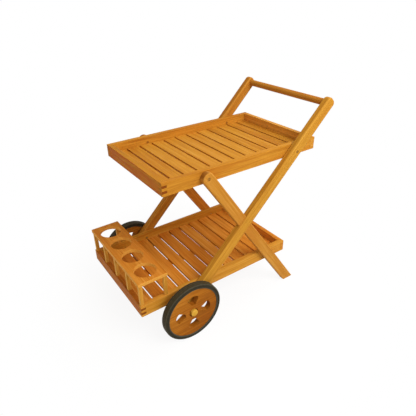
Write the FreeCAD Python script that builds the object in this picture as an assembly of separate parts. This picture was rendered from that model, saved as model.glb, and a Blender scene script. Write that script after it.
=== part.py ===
import FreeCAD, Part
import math
import os

# Wooden serving trolley with two slatted trays, a bottle rack, two wheels and a push handle.
# Millimetres, +Z up, floor at z = 0. +X points to the handle, and -Y is the left side for the
# person who pushes it. Distances along X are given from the wheel axle. The origin is on the
# floor, under the middle of the overall length.

os.makedirs("parts", exist_ok=True)
V = FreeCAD.Vector

# Trays, two alike, each placed by its reach behind the fastening at its back leg
tray_length = 733.0
tray_width = 452.0
rail_height = 51.0
rail_thickness = 20.0
rail_edge_radius = 1.5
finger_count = 5
upper_tray_below_handle = 137.6
upper_tray_past_leg = 131.0
lower_tray_top = 214.5
lower_tray_past_leg = 104.5

# Slatted floors
slat_count = 12
slat_gap = 8.0
slat_thickness = 11.0
slat_drop = 32.0
slat_edge_radius = 1.0
slat_end_clearance = 0.5
cleat_width = 15.0
batten_width = 36.0

# Legs and handle
long_leg_width = 45.5
long_leg_thickness = 31.5
long_leg_edge_radius = 8.0
long_leg_rise = 2.0
short_leg_width = 46.0
short_leg_thickness = 24.0
short_leg_edge_radius = 4.0
short_leg_top_reach = 110.0
foot_reach = 568.0
handle_reach = 705.0
handle_height = 826.0
handle_diameter = 28.0
handle_socket_depth = 15.0
leg_end_past_handle = 20.5
leg_end_corner = 17.0

# Bottle rack
rack_depth = 123.0
rack_plate_thickness = 15.0
rack_plate_top = 321.0
rack_edge_radius = 2.0
bottle_hole_count = 4
bottle_hole_diameter = 86.0
bottle_hole_pitch = 108.0
bottle_hole_easing = 1.0
post_side = 14.0
post_edge_radius = 1.0
tenon_diameter = 7.0
tenon_length = 7.0

# Wheels, axle and hub
tyre_radius = 129.0
tyre_width = 32.0
tyre_shoulder_radius = 6.0
tyre_lip_height = 2.5
tread_groove_count = 3
tread_groove_width = 2.4
tread_groove_depth = 1.4
disc_radius = 113.0
disc_thickness = 24.0
disc_setback = 3.0
cutout_count = 4
cutout_inner_radius = 36.0
cutout_outer_radius = 80.0
cutout_corner_radius = 66.0
cutout_inner_width = 16.0
cutout_outer_width = 52.0
cutout_rounding = 3.0
hub_recess_radius = 19.0
hub_recess_depth = 5.0
wheel_leg_gap = 1.5
axle_diameter = 16.0
axle_chamfer = 1.0
bush_wall = 3.0
bush_flange_radius = 17.0
inner_washer_radius = 16.0
inner_washer_thickness = 2.0
outer_washer_radius = 13.0
outer_washer_thickness = 1.5
cap_radius = 15.0
cap_stand_out = 10.5
cap_edge_radius = 3.0
cap_end_wall = 4.0

# Bolts, nuts and screws
bolt_drop = 25.5
bolt_diameter = 6.0
bolt_hole_clearance = 0.2
bolt_head_radius = 6.0
bolt_head_height = 2.5
bolt_recess_clearance = 0.5
bolt_recess_depth = 3.0
bolt_tip_setback = 3.0
nut_cap_radius = 5.5
nut_cap_height = 1.6
nut_barrel_radius = 4.25
nut_barrel_length = 15.0
nut_bore_floor = 2.0
leg_screw_radius = 2.25
leg_screw_head_radius = 4.5
leg_screw_length = 35.0
slat_screw_radius = 1.75
slat_screw_head_radius = 3.5
slat_screw_bite = 5.0
slot_width = 1.2
slot_depth = 0.8

# Fits
glue_gap = 0.1
running_gap = 0.08
side_play = 0.5
pilot_tip_gap = 0.5


def on_line(start, end, height):
    share = (height - start.z) / (end.z - start.z)
    return start + (end - start) * share


def crossing(a, b, c, d):
    # where the line from a to b meets the line from c to d, all in the XZ plane
    first = b - a
    second = d - c
    share = ((c.x - a.x) * second.z - (c.z - a.z) * second.x) / (first.x * second.z - first.z * second.x)
    return a + first * share


# Middle lines of the legs and ends of the trays, with X still counted from the axle
axle_point = V(0, 0, tyre_radius)
handle_point = V(handle_reach, 0, handle_height)
leg_slope = math.atan2(handle_height - tyre_radius, handle_reach)
along_leg = V(math.cos(leg_slope), 0, math.sin(leg_slope))
above_leg = V(-math.sin(leg_slope), 0, math.cos(leg_slope))
long_leg_start = axle_point + above_leg * long_leg_rise
long_leg_end = handle_point + along_leg * leg_end_past_handle + above_leg * long_leg_rise
upper_tray_top = handle_height - upper_tray_below_handle
upper_bolt_height = upper_tray_top - bolt_drop
lower_bolt_height = lower_tray_top - bolt_drop
short_leg_top = V(short_leg_top_reach, 0, upper_bolt_height)
foot_point = V(foot_reach, 0, 0)
long_leg_upper = on_line(long_leg_start, long_leg_end, upper_bolt_height)
long_leg_lower = on_line(long_leg_start, long_leg_end, lower_bolt_height)
short_leg_lower = on_line(short_leg_top, foot_point, lower_bolt_height)
upper_tray_back = long_leg_upper.x + upper_tray_past_leg
lower_tray_back = short_leg_lower.x + lower_tray_past_leg

# The origin goes under the middle of the overall length
corner_drop = long_leg_width / 2 - leg_end_corner
leg_tip = long_leg_end.x + corner_drop * math.sin(leg_slope) + leg_end_corner * (1 - math.cos(leg_slope))
front_end = min(lower_tray_back - tray_length, upper_tray_back - tray_length, -tyre_radius)
back_end = max(leg_tip, upper_tray_back, lower_tray_back)
axle_x = -(front_end + back_end) / 2
leg_points = [axle_point, handle_point, long_leg_start, long_leg_end, short_leg_top, foot_point]
for point in leg_points + [long_leg_upper, long_leg_lower, short_leg_lower]:
    point.x += axle_x
lap_point = crossing(long_leg_start, long_leg_end, short_leg_top, foot_point)
upper_tray_front = axle_x + upper_tray_back - tray_length
lower_tray_front = axle_x + lower_tray_back - tray_length

# Other places worked out from the sizes above
half_width = tray_width / 2
rail_inside = half_width - rail_thickness
long_leg_outside = half_width + long_leg_thickness
short_leg_outside = half_width + short_leg_thickness
lap_plane = half_width + short_leg_thickness / 2
cleat_height = rail_height - slat_drop - slat_thickness
slat_run = tray_length - 2 * rail_thickness - 2 * slat_end_clearance
slat_width = (slat_run - (slat_count - 1) * slat_gap) / slat_count
slat_pitch = slat_width + slat_gap
slat_length = 2 * (rail_inside - slat_end_clearance)
cleat_middle = rail_inside - cleat_width / 2
screw_lines = (-cleat_middle, 0.0, cleat_middle)


def save(name, solids):
    solids = solids if isinstance(solids, list) else [solids]
    shape = solids[0] if len(solids) == 1 else Part.makeCompound(solids)
    shape.exportStep("parts/" + name + ".step")


def moved(shape, x=0.0, y=0.0, z=0.0):
    copy = shape.copy()
    copy.translate(V(x, y, z))
    return copy


def other_side(shape):
    return shape.mirror(V(0, 0, 0), V(0, 1, 0))


def block(x0, x1, y0, y1, z0, z1):
    return Part.makeBox(x1 - x0, y1 - y0, z1 - z0, V(x0, y0, z0))


def rod_y(radius, x, z, y0, y1):
    return Part.makeCylinder(radius, y1 - y0, V(x, y0, z), V(0, 1, 0))


def rod_z(radius, x, y, z0, z1):
    return Part.makeCylinder(radius, z1 - z0, V(x, y, z0), V(0, 0, 1))


def ease(shape, radius, wanted):
    return shape.makeFillet(radius, [edge for edge in shape.Edges if wanted(edge)])


def runs_along(edge, axis):
    # true for a straight edge in the direction of the axis
    if edge.Curve.TypeId != "Part::GeomLine":
        return False
    return abs(edge.tangentAt(edge.FirstParameter).dot(axis)) > 0.999


def bar(start, end, width, y0, y1, edge_radius):
    # straight bar with eased edges, its one end round about start and its other square at end
    run = (end - start).Length
    half = width / 2
    turn = run - leg_end_corner
    flat = half - leg_end_corner
    bend = leg_end_corner * math.sqrt(0.5)
    outline = Part.Wire([
        Part.LineSegment(V(0, 0, -half), V(turn, 0, -half)).toShape(),
        Part.Arc(V(turn, 0, -half), V(turn + bend, 0, -flat - bend), V(run, 0, -flat)).toShape(),
        Part.LineSegment(V(run, 0, -flat), V(run, 0, flat)).toShape(),
        Part.Arc(V(run, 0, flat), V(turn + bend, 0, flat + bend), V(turn, 0, half)).toShape(),
        Part.LineSegment(V(turn, 0, half), V(0, 0, half)).toShape(),
        Part.Arc(V(0, 0, half), V(-half, 0, 0), V(0, 0, -half)).toShape(),
    ])
    solid = Part.Face(outline).extrude(V(0, y1 - y0, 0))
    solid = ease(solid, edge_radius, lambda edge: not runs_along(edge, V(0, 1, 0)))
    slope = math.degrees(math.atan2(end.z - start.z, end.x - start.x))
    solid.rotate(V(0, 0, 0), V(0, 1, 0), -slope)
    return moved(solid, start.x, y0, start.z)


def lap_notch(start, end, width, y0, y1):
    # room for the leg of that width that runs from start to end, between two planes
    reach = 2 * (long_leg_width + short_leg_width)
    half = width / 2 + glue_gap
    notch = block(-reach, reach, y0, y1, -half, half)
    slope = math.degrees(math.atan2(end.z - start.z, end.x - start.x))
    notch.rotate(V(0, 0, 0), V(0, 1, 0), -slope)
    return moved(notch, lap_point.x, 0, lap_point.z)


def bolt_hole(point, outside):
    hole = rod_y(bolt_diameter / 2 + bolt_hole_clearance, point.x, point.z, half_width, outside)
    recess_radius = bolt_head_radius + bolt_recess_clearance
    recess = rod_y(recess_radius, point.x, point.z, outside - bolt_recess_depth, outside)
    return hole.fuse(recess)


def leg_pilot(point):
    tip = rail_inside + leg_screw_length + pilot_tip_gap
    return rod_y(leg_screw_radius + glue_gap, point.x, point.z, half_width, tip)


def long_leg():
    outside = long_leg_outside
    leg = bar(long_leg_start, long_leg_end, long_leg_width, half_width, outside, long_leg_edge_radius)
    leg = leg.cut(lap_notch(short_leg_top, foot_point, short_leg_width, half_width, lap_plane))
    axle_hole = rod_y(axle_diameter / 2 + glue_gap, axle_point.x, axle_point.z, half_width, outside)
    socket_end = half_width + handle_socket_depth
    socket_radius = handle_diameter / 2 + glue_gap
    socket = rod_y(socket_radius, handle_point.x, handle_point.z, half_width, socket_end)
    return leg.cut([axle_hole, socket, bolt_hole(long_leg_upper, outside), leg_pilot(long_leg_lower)])


def short_leg():
    # the lower end runs on under the floor and is then cut off flat, as the foot
    width = short_leg_width
    outside = short_leg_outside
    end = foot_point + (foot_point - short_leg_top).normalize() * (2 * width)
    leg = bar(short_leg_top, end, width, half_width, outside, short_leg_edge_radius)
    below = block(end.x - 5 * width, end.x + width, 0, 2 * outside, end.z - width, 0)
    leg = leg.cut([below, lap_notch(long_leg_start, long_leg_end, long_leg_width, lap_plane, outside)])
    return leg.cut([bolt_hole(short_leg_top, outside), leg_pilot(short_leg_lower)])


def side_mask(front, top):
    # the share of the corner joints that belongs to the right-hand rail: first, third, fifth finger
    back = front + tray_length
    bottom = top - rail_height
    step = rail_height / finger_count
    mask = block(front + rail_thickness, back - rail_thickness, rail_inside, half_width, bottom, top)
    fingers = []
    for index in range(0, finger_count, 2):
        low = bottom + index * step
        fingers.append(block(front, back, rail_inside, half_width, low, low + step))
    return mask.fuse(fingers)


def tray_rails(front, top):
    # one eased ring, parted into rails along the finger joints
    back = front + tray_length
    bottom = top - rail_height
    outer = block(front, back, -half_width, half_width, bottom, top)
    outer = outer.makeFillet(rail_edge_radius, outer.Edges)
    inner = block(front + rail_thickness, back - rail_thickness, -rail_inside, rail_inside, bottom, top)
    ring = outer.cut(inner)
    right_mask = side_mask(front, top)
    left_mask = other_side(right_mask)
    middle = (front + back) / 2
    ends = ring.cut([right_mask, left_mask])
    front_half = block(front, middle, -half_width, half_width, bottom, top)
    return {
        "right": ring.common(right_mask),
        "left": ring.common(left_mask),
        "front": ends.common(front_half),
        "back": ends.cut(front_half),
    }


def slat():
    # lies along Y with its top at z = 0 and its middle at x = 0
    half = slat_width / 2
    board = block(-half, half, -slat_length / 2, slat_length / 2, -slat_thickness, 0)
    board = ease(board, slat_edge_radius, lambda edge: runs_along(edge, V(0, 1, 0)))
    pilot_top = -slat_thickness + slat_screw_bite + pilot_tip_gap
    pilots = [rod_z(slat_screw_radius + glue_gap, 0, y, -slat_thickness, pilot_top) for y in screw_lines]
    return board.cut(pilots)


def countersunk(radius, head_radius, length, gap):
    # pointed countersunk screw along +Z with its head's top at z = 0, or with a gap its hole
    head = Part.makeCone(head_radius + gap, radius + gap, head_radius - radius, V(0, 0, 0))
    shank = Part.makeCylinder(radius + gap, length - 2 * radius, V(0, 0, 0))
    tip = Part.makeCone(radius + gap, radius / 4 + gap, 2 * radius, V(0, 0, length - 2 * radius))
    return head.fuse([shank, tip]).removeSplitter()


def slotted(screw, head_radius):
    slot = block(-head_radius, head_radius, -slot_width / 2, slot_width / 2, 0, slot_depth)
    return screw.cut(slot)


def slat_middles(front):
    first = front + rail_thickness + slat_end_clearance + slat_width / 2
    return [first + index * slat_pitch for index in range(slat_count)]


def support(front, top, y0, y1, screw_y):
    # cleat or batten under the slats, bored for the screws that come up through it
    bottom = top - rail_height
    back = front + tray_length
    strip = block(front + rail_thickness, back - rail_thickness, y0, y1, bottom, bottom + cleat_height)
    length = cleat_height + slat_screw_bite
    bore = countersunk(slat_screw_radius, slat_screw_head_radius, length, glue_gap)
    return strip.cut([moved(bore, x, screw_y, bottom) for x in slat_middles(front)])


def tray(name, front, top):
    bottom = top - rail_height
    rails = tray_rails(front, top)
    board = slat()
    for index, x in enumerate(slat_middles(front)):
        save("%s_slat_%02d" % (name, index + 1), moved(board, x, 0, top - slat_drop))
    right_cleat = support(front, top, rail_inside - cleat_width, rail_inside, cleat_middle)
    save(name + "_right_cleat", right_cleat)
    save(name + "_left_cleat", other_side(right_cleat))
    save(name + "_batten", support(front, top, -batten_width / 2, batten_width / 2, 0))
    length = cleat_height + slat_screw_bite
    screw = countersunk(slat_screw_radius, slat_screw_head_radius, length, 0)
    screw = slotted(screw, slat_screw_head_radius)
    screws = [moved(screw, x, y, bottom) for x in slat_middles(front) for y in screw_lines]
    return rails, screws


def save_rails(name, rails, side_holes, tops):
    # side_holes are for the right rail and are mirrored, tops are bored from above
    right = rails["right"].cut(side_holes + tops)
    left = rails["left"].cut([other_side(hole) for hole in side_holes] + tops)
    save(name + "_right_rail", right)
    save(name + "_left_rail", left)
    save(name + "_front_rail", rails["front"].cut(tops) if tops else rails["front"])
    save(name + "_back_rail", rails["back"])


def rail_screw_hole(point):
    hole = countersunk(leg_screw_radius, leg_screw_head_radius, leg_screw_length, glue_gap)
    hole.rotate(V(0, 0, 0), V(1, 0, 0), -90)
    return moved(hole, point.x, rail_inside, point.z)


def leg_screw(point):
    screw = countersunk(leg_screw_radius, leg_screw_head_radius, leg_screw_length, 0)
    screw = slotted(screw, leg_screw_head_radius)
    screw.rotate(V(0, 0, 0), V(1, 0, 0), -90)
    return moved(screw, point.x, rail_inside, point.z)


def leg_bolt(point, outside):
    seat = outside - bolt_recess_depth
    top = seat + bolt_head_height
    shank_end = rail_inside + bolt_tip_setback
    shank = rod_y(bolt_diameter / 2, point.x, point.z, shank_end, seat)
    head = rod_y(bolt_head_radius, point.x, point.z, seat, top)
    slot = block(-bolt_head_radius, bolt_head_radius, top - slot_depth, top, -slot_width / 2, slot_width / 2)
    return shank.fuse(head).cut(moved(slot, point.x, 0, point.z)).removeSplitter()


def sleeve_nut(point):
    barrel_end = rail_inside + nut_barrel_length
    cap = rod_y(nut_cap_radius, point.x, point.z, rail_inside - nut_cap_height, rail_inside)
    barrel = rod_y(nut_barrel_radius, point.x, point.z, rail_inside, barrel_end)
    bore_radius = bolt_diameter / 2 + glue_gap
    bore = rod_y(bore_radius, point.x, point.z, rail_inside + nut_bore_floor, barrel_end)
    return cap.fuse(barrel).cut(bore).removeSplitter()


def hole_offsets():
    first = -(bottle_hole_count - 1) * bottle_hole_pitch / 2
    return [first + index * bottle_hole_pitch for index in range(bottle_hole_count)]


def post_places():
    # along the front: one over each corner and one between each two holes; behind: the side rails
    x_front = lower_tray_front + rail_thickness / 2
    x_back = lower_tray_front + rack_depth - rail_thickness / 2
    corner = half_width - rail_thickness / 2
    holes = hole_offsets()
    between = [(a + b) / 2 for a, b in zip(holes, holes[1:])]
    front = [(x_front, y) for y in [-corner] + between + [corner]]
    return front, [(x_back, -corner), (x_back, corner)]


def rack_post(x, y):
    half = post_side / 2
    top = rack_plate_top - rack_plate_thickness
    post = block(x - half, x + half, y - half, y + half, lower_tray_top, top)
    post = ease(post, post_edge_radius, lambda edge: runs_along(edge, V(0, 0, 1)))
    tenon = rod_z(tenon_diameter / 2, x, y, lower_tray_top - tenon_length, top + tenon_length)
    return post.fuse(tenon)


def mortises(places, z):
    radius = tenon_diameter / 2 + glue_gap
    depth = tenon_length + pilot_tip_gap
    return [rod_z(radius, x, y, z - depth, z + depth) for x, y in places]


def rack_plate(places):
    front = lower_tray_front
    bottom = rack_plate_top - rack_plate_thickness
    plate = block(front, front + rack_depth, -half_width, half_width, bottom, rack_plate_top)
    plate = plate.makeFillet(rack_edge_radius, plate.Edges)
    middle = front + rack_depth / 2
    radius = bottle_hole_diameter / 2
    wide = radius + bottle_hole_easing
    for y in hole_offsets():
        hole = rod_z(radius, middle, y, bottom, rack_plate_top)
        upper = Part.makeCone(radius, wide, bottle_hole_easing, V(middle, y, rack_plate_top - bottle_hole_easing))
        lower = Part.makeCone(wide, radius, bottle_hole_easing, V(middle, y, bottom))
        plate = plate.cut([hole, upper, lower])
    return plate.cut(mortises(places, bottom))


def handle_bar():
    end = half_width + handle_socket_depth
    return rod_y(handle_diameter / 2, handle_point.x, handle_point.z, -end, end)


# Along the right-hand wheel's axis, from the leg outwards
tyre_inside = long_leg_outside + wheel_leg_gap
tyre_outside = tyre_inside + tyre_width
disc_outside = tyre_outside - disc_setback
disc_inside = disc_outside - disc_thickness
hub_seat = disc_outside - hub_recess_depth
bush_inside = long_leg_outside + inner_washer_thickness + side_play
outer_washer_inside = hub_seat + side_play
cap_inside = outer_washer_inside + outer_washer_thickness
cap_outside = disc_outside + cap_stand_out
axle_end = cap_outside - cap_end_wall
bush_bore = axle_diameter / 2 + running_gap
bush_radius = bush_bore + bush_wall


def on_axle(radius, y0, y1):
    return rod_y(radius, axle_point.x, axle_point.z, y0, y1)


def tyre():
    ring = on_axle(tyre_radius, tyre_inside, tyre_outside)
    ring = ring.makeFillet(tyre_shoulder_radius, [e for e in ring.Edges if not runs_along(e, V(0, 1, 0))])
    opening = on_axle(disc_radius - tyre_lip_height, tyre_inside, tyre_outside)
    channel = on_axle(disc_radius + glue_gap, disc_inside, disc_outside)
    ring = ring.cut([opening, channel])
    step = tyre_width / (tread_groove_count + 1)
    for index in range(tread_groove_count):
        middle = tyre_inside + (index + 1) * step
        y0 = middle - tread_groove_width / 2
        y1 = middle + tread_groove_width / 2
        floor_radius = tyre_radius - tread_groove_depth
        ring = ring.cut(on_axle(tyre_radius, y0, y1).cut(on_axle(floor_radius, y0, y1)))
    return ring


def wheel_cutout():
    # fan shape above the hub: flat inner edge, straight sides and a bulging outer edge
    inner = cutout_inner_width / 2
    outer = cutout_outer_width / 2
    low = V(-inner, 0, cutout_inner_radius)
    left = V(-outer, 0, cutout_corner_radius)
    crown = V(0, 0, cutout_outer_radius)
    right = V(outer, 0, cutout_corner_radius)
    high = V(inner, 0, cutout_inner_radius)
    outline = Part.Wire([
        Part.LineSegment(low, left).toShape(),
        Part.Arc(left, crown, right).toShape(),
        Part.LineSegment(right, high).toShape(),
        Part.LineSegment(high, low).toShape(),
    ])
    fan = Part.Face(outline).extrude(V(0, disc_thickness, 0))
    return ease(fan, cutout_rounding, lambda edge: runs_along(edge, V(0, 1, 0)))


def wheel_disc():
    disc = on_axle(disc_radius, disc_inside, disc_outside)
    bore = on_axle(bush_radius + glue_gap, disc_inside, disc_outside)
    disc = disc.cut([bore, on_axle(hub_recess_radius, hub_seat, disc_outside)])
    fan = wheel_cutout()
    for index in range(cutout_count):
        turned = moved(fan)
        turned.rotate(V(0, 0, 0), V(0, 1, 0), index * 360 / cutout_count)
        disc = disc.cut(moved(turned, axle_point.x, disc_inside, axle_point.z))
    return disc


def wheel_bush():
    flange = on_axle(bush_flange_radius, bush_inside, disc_inside)
    sleeve = on_axle(bush_radius, bush_inside, hub_seat)
    return flange.fuse(sleeve).cut(on_axle(bush_bore, bush_inside, hub_seat)).removeSplitter()


def washers():
    hole = axle_diameter / 2 + glue_gap
    inner_start = long_leg_outside
    inner_end = inner_start + inner_washer_thickness
    inner = on_axle(inner_washer_radius, inner_start, inner_end).cut(on_axle(hole, inner_start, inner_end))
    outer = on_axle(outer_washer_radius, outer_washer_inside, cap_inside)
    return [inner, outer.cut(on_axle(hole, outer_washer_inside, cap_inside))]


def hub_cap():
    cap = on_axle(cap_radius, cap_inside, cap_outside)
    cap = ease(cap, cap_edge_radius, lambda edge: edge.CenterOfMass.y > cap_outside - 0.001)
    return cap.cut(on_axle(axle_diameter / 2 + glue_gap, cap_inside, axle_end))


def axle():
    rod = on_axle(axle_diameter / 2, -axle_end, axle_end)
    return rod.makeChamfer(axle_chamfer, [e for e in rod.Edges if not runs_along(e, V(0, 1, 0))])


front_posts, back_posts = post_places()
upper_rails, upper_screws = tray("upper", upper_tray_front, upper_tray_top)
lower_rails, lower_screws = tray("lower", lower_tray_front, lower_tray_top)
upper_points = [short_leg_top, long_leg_upper]
lower_points = [short_leg_lower, long_leg_lower]

nut_bores = [rod_y(nut_barrel_radius + glue_gap, p.x, p.z, rail_inside, half_width) for p in upper_points]
save_rails("upper", upper_rails, nut_bores, [])
screw_bores = [rail_screw_hole(p) for p in lower_points]
save_rails("lower", lower_rails, screw_bores, mortises(front_posts + back_posts, lower_tray_top))
save("slat_screws", upper_screws + lower_screws)

save("front_rack_posts", [rack_post(x, y) for x, y in front_posts])
save("back_rack_posts", [rack_post(x, y) for x, y in back_posts])
save("rack_plate", rack_plate(front_posts + back_posts))
save("handle_bar", handle_bar())
save("axle", axle())

right_pieces = {
    "long_leg": long_leg(),
    "short_leg": short_leg(),
    "tyre": tyre(),
    "wheel_disc": wheel_disc(),
    "wheel_bush": wheel_bush(),
    "hub_cap": hub_cap(),
}
for name, shape in right_pieces.items():
    save("right_" + name, shape)
    save("left_" + name, other_side(shape))

right_groups = {
    "axle_washers": washers(),
    "leg_bolts": [leg_bolt(short_leg_top, short_leg_outside), leg_bolt(long_leg_upper, long_leg_outside)],
    "leg_nuts": [sleeve_nut(p) for p in upper_points],
    "leg_screws": [leg_screw(p) for p in lower_points],
}
for name, solids in right_groups.items():
    save(name, solids + [other_side(solid) for solid in solids])
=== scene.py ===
import math
import random

import bmesh
import bpy
from mathutils import Euler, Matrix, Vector


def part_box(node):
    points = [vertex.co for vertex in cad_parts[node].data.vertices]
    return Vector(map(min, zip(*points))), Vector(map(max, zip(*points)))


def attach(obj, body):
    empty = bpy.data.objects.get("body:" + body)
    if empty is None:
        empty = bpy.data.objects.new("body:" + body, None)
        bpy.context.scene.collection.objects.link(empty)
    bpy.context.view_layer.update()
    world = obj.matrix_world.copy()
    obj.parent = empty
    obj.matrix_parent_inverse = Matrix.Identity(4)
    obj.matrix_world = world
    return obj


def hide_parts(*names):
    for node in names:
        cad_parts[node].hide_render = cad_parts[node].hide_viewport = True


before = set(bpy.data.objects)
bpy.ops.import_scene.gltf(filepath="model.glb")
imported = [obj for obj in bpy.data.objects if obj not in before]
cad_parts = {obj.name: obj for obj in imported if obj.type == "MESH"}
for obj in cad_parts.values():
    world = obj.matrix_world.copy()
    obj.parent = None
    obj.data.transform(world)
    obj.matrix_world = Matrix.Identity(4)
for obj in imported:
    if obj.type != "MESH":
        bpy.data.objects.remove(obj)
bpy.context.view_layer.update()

mm = 0.001
alongX = Vector((1, 0, 0))
alongY = Vector((0, 1, 0))
alongZ = Vector((0, 0, 1))


def toLinear(code):
    # sRGB hex to the linear colour that a socket takes
    parts = [int(code[i:i + 2], 16) / 255 for i in (1, 3, 5)]
    parts = [c / 12.92 if c <= 0.04045 else ((c + 0.055) / 1.055) ** 2.4 for c in parts]
    return (*parts, 1.0)


def addNode(tree, kind, inputs=None, **settings):
    # one node, with its settings, and a link or a value for each named input
    node = tree.nodes.new(kind)
    for name, value in settings.items():
        setattr(node, name, value)
    for key, value in (inputs or {}).items():
        if isinstance(value, bpy.types.NodeSocket):
            tree.links.new(value, node.inputs[key])
        else:
            node.inputs[key].default_value = value
    return node


def newMaterial(name):
    material = bpy.data.materials.new(name)
    material.use_nodes = True
    material.node_tree.nodes.clear()
    return material, material.node_tree


def finishMaterial(tree, surface):
    addNode(tree, "ShaderNodeOutputMaterial", {"Surface": surface})


# Oiled hardwood, sawn, planed and sanded: long soft streaks along each board, fine lines and short
# dark pores, a warm blush that comes and goes, dark sawn ends and edges rubbed paler by hands.
# The oil leaves a low satin sheen. Every wooden piece carries four attributes: grain (metres along,
# across and through the board), board (0 to 1, its own tone), endGrain (1 on faces sawn across the
# grain) and worn (1 on eased edges and on a top that hands rub).
noiseSpan = (0.3, 0.7)           # nearly all values of a noise lie in here
timberReach = 9.0                # metres of timber that the boards are cut from, each at its own place
woodFinish = {
    "streakLength": 420 * mm, "streakWidth": 15 * mm, "streakShare": 0.5,
    "lineLength": 130 * mm, "lineWidth": 3.6 * mm,   # real lines are about 1 mm apart, too fine to show
    "lineShare": 0.5, "boardShare": 0.14, "toneRange": (0.39, 0.75),
    "blushLength": 300 * mm, "blushWidth": 60 * mm, "blushRange": (0.45, 0.75), "blushShare": 0.55,
    "poreLength": 16 * mm, "poreWidth": 1.6 * mm, "poreRange": (0.62, 0.76), "poreShare": 0.45,
    "poreSink": 1.2, "ringLength": 1.0, "ringWidth": 3.0 * mm,
    "roughness": (0.46, 0.62), "ior": 1.46, "sheenLevel": 0.05,
    "bumpStrength": 0.3, "bumpDepth": 0.25 * mm,
}


def hardwood(name, dark, middle, light, blushTone, sawnEndAndPaintedLight):
    material, tree = newMaterial(name)
    s = woodFinish
    grain = addNode(tree, "ShaderNodeAttribute", attribute_name="grain").outputs["Vector"]
    board = addNode(tree, "ShaderNodeAttribute", attribute_name="board").outputs["Fac"]
    sawn = addNode(tree, "ShaderNodeAttribute", attribute_name="endGrain").outputs["Fac"]
    worn = addNode(tree, "ShaderNodeAttribute", attribute_name="worn").outputs["Fac"]

    def noise(length, width, detail, roughness, distortion=0.0):
        # a noise drawn out along the board
        scale = (1 / length, 1 / width, 1 / width)
        place = addNode(tree, "ShaderNodeMapping", {"Vector": grain, "Scale": scale}).outputs[0]
        return addNode(tree, "ShaderNodeTexNoise", {
            "Vector": place, "Scale": 1.0, "Detail": detail, "Roughness": roughness,
            "Distortion": distortion}).outputs[0]

    streak = noise(s["streakLength"], s["streakWidth"], detail=3.0, roughness=0.55, distortion=0.5)
    line = noise(s["lineLength"], s["lineWidth"], detail=2.0, roughness=0.6, distortion=0.2)
    pore = noise(s["poreLength"], s["poreWidth"], detail=1.0, roughness=0.5)
    blush = noise(s["blushLength"], s["blushWidth"], detail=2.0, roughness=0.5)
    rings = noise(s["ringLength"], s["ringWidth"], detail=2.0, roughness=0.6, distortion=1.2)

    # tone of the face: line and streak in equal parts, and a little that is the board's own
    tone = 0.0
    for part, share in ((line, s["lineShare"]), (streak, s["streakShare"]), (board, s["boardShare"])):
        tone = addNode(tree, "ShaderNodeMath", {0: part, 1: share, 2: tone},
                       operation="MULTIPLY_ADD").outputs[0]
    tone = addNode(tree, "ShaderNodeMapRange", {
        "Value": tone, "From Min": s["toneRange"][0], "From Max": s["toneRange"][1]}).outputs[0]
    ramp = addNode(tree, "ShaderNodeValToRGB", {"Fac": tone})
    ramp.color_ramp.elements[0].color = toLinear(dark)
    ramp.color_ramp.elements[1].color = toLinear(light)
    ramp.color_ramp.elements.new(0.5).color = toLinear(middle)

    blushMask = addNode(tree, "ShaderNodeMapRange", {
        "Value": blush, "From Min": s["blushRange"][0], "From Max": s["blushRange"][1],
        "To Max": s["blushShare"]}).outputs[0]
    face = addNode(tree, "ShaderNodeMix", {
        0: blushMask, 6: ramp.outputs[0], 7: toLinear(blushTone)}, data_type="RGBA").outputs[2]
    poreMask = addNode(tree, "ShaderNodeMapRange", {
        "Value": pore, "From Min": s["poreRange"][0], "From Max": s["poreRange"][1],
        "To Max": s["poreShare"]}).outputs[0]
    face = addNode(tree, "ShaderNodeMix", {0: poreMask, 6: face, 7: toLinear(dark)},
                   data_type="RGBA").outputs[2]
    rubbed = addNode(tree, "ShaderNodeMath", {0: worn, 1: line}, operation="MULTIPLY").outputs[0]
    face = addNode(tree, "ShaderNodeMix", {0: rubbed, 6: face, 7: toLinear(light)},
                   data_type="RGBA").outputs[2]
    endTone = addNode(tree, "ShaderNodeMix", {0: rings, 6: toLinear(sawnEndAndPaintedLight), 7: toLinear(dark)},
                      data_type="RGBA").outputs[2]
    colour = addNode(tree, "ShaderNodeMix", {0: sawn, 6: face, 7: endTone},
                     data_type="RGBA").outputs[2]

    rough = addNode(tree, "ShaderNodeMapRange", {
        "Value": line, "From Min": noiseSpan[0], "From Max": noiseSpan[1],
        "To Min": s["roughness"][0], "To Max": s["roughness"][1]}).outputs[0]
    height = addNode(tree, "ShaderNodeMath", {0: poreMask, 1: -s["poreSink"], 2: line},
                     operation="MULTIPLY_ADD").outputs[0]
    bump = addNode(tree, "ShaderNodeBump", {
        "Height": height, "Strength": s["bumpStrength"], "Distance": s["bumpDepth"]}).outputs[0]
    shader = addNode(tree, "ShaderNodeBsdfPrincipled", {
        "Base Color": colour, "Roughness": rough, "IOR": s["ior"],
        "Specular IOR Level": s["sheenLevel"], "Normal": bump})
    finishMaterial(tree, shader.outputs[0])
    return material
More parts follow.
